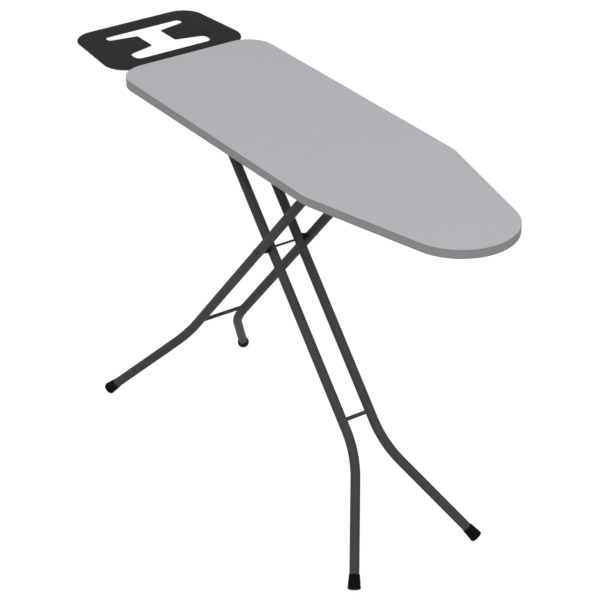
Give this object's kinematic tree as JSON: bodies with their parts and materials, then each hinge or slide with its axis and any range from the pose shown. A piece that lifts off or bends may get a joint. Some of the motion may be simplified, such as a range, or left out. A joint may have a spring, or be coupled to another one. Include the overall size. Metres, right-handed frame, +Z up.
{
  "type": "ironing board",
  "caption": "Folding ironing board: long padded top tapering to a round nose, crossed tube legs with splayed rubber feet, and a flat black iron rest behind it.",
  "frame": {"origin": "on the floor, under the middle of the overall length, on the centre line", "axes": "+X towards the nose of the board, +Y to the side with the release lever, +Z up"},
  "size_m": [1.41, 0.4236, 0.904],
  "materials": {
    "cover_fabric": "light grey woven cotton cover",
    "pad_felt": "off-white felt and foam pad",
    "board_steel": "dark grey powder coat",
    "rest_black": "matt black powder coat",
    "leg_steel": "charcoal powder coat",
    "foot_rubber": "black rubber",
    "black_plastic": "black moulded plastic",
    "white_nylon": "natural nylon",
    "latch_steel": "zinc-plated sheet",
    "zinc_steel": "zinc-plated steel"
  },
  "bodies": {
    "tabletop": {"arm_rivets": "zinc_steel", "bracket_rivets": "zinc_steel", "cover": "cover_fabric", "cross_rib_1": "board_steel", "cross_rib_2": "board_steel", "cross_rib_3": "board_steel", "cross_rib_4": "board_steel", "cross_rib_5": "board_steel", "cross_rib_6": "board_steel", "foam_pad": "pad_felt", "hinge_bracket": "board_steel", "hinge_bushes": "white_nylon", "iron_rest": "rest_black", "iron_rest_screws": "zinc_steel", "latch_clips": "zinc_steel", "latch_ears": "board_steel", "latch_pin": "zinc_steel", "latch_spring": "zinc_steel", "left_rail": "board_steel", "left_rest_arm": "board_steel", "mesh_top": "board_steel", "rail_rivets": "zinc_steel", "right_rail": "board_steel", "right_rest_arm": "board_steel", "rim_frame": "board_steel"},
    "latch": {"latch_comb": "latch_steel", "lever_grip": "black_plastic", "release_lever": "latch_steel"},
    "front_legs": {"front_crossbar": "leg_steel", "front_hinge_rod": "zinc_steel", "front_left_foot_cap": "foot_rubber", "front_left_tube": "leg_steel", "front_right_foot_cap": "foot_rubber", "front_right_tube": "leg_steel", "left_pivot_spacer": "black_plastic", "pivot_bolt": "leg_steel", "pivot_nut": "zinc_steel", "right_pivot_spacer": "black_plastic"},
    "rear_legs": {"rear_crossbar": "leg_steel", "rear_left_foot_cap": "foot_rubber", "rear_left_tube": "leg_steel", "rear_right_foot_cap": "foot_rubber", "rear_right_tube": "leg_steel", "slide_glides": "white_nylon", "slide_rod": "zinc_steel", "slide_washers": "zinc_steel"}
  },
  "joints": [
    {"name": "front_legs_fold", "type": "hinge", "parent": "tabletop", "child": "front_legs", "pos_m": [-0.2902, 0, 0.864], "axis": [0, -1, 0], "range_deg": [0, 46]},
    {"name": "rear_legs_swing", "type": "hinge", "parent": "front_legs", "child": "rear_legs", "pos_m": [-0.04, 0, 0.58281], "axis": [0, 1, 0], "range_deg": [0, 92]},
    {"name": "latch_release", "type": "hinge", "parent": "tabletop", "child": "latch", "pos_m": [0.2, 0.0985, 0.8775], "axis": [1, 0, 0], "range_deg": [0, 14], "stiffness_Nm_per_rad": 0.3, "springref_deg": -20.05}
  ],
  "couplings": [
    {"joint": "rear_legs_swing", "follows": "front_legs_fold", "ratio": 2}
  ]
}
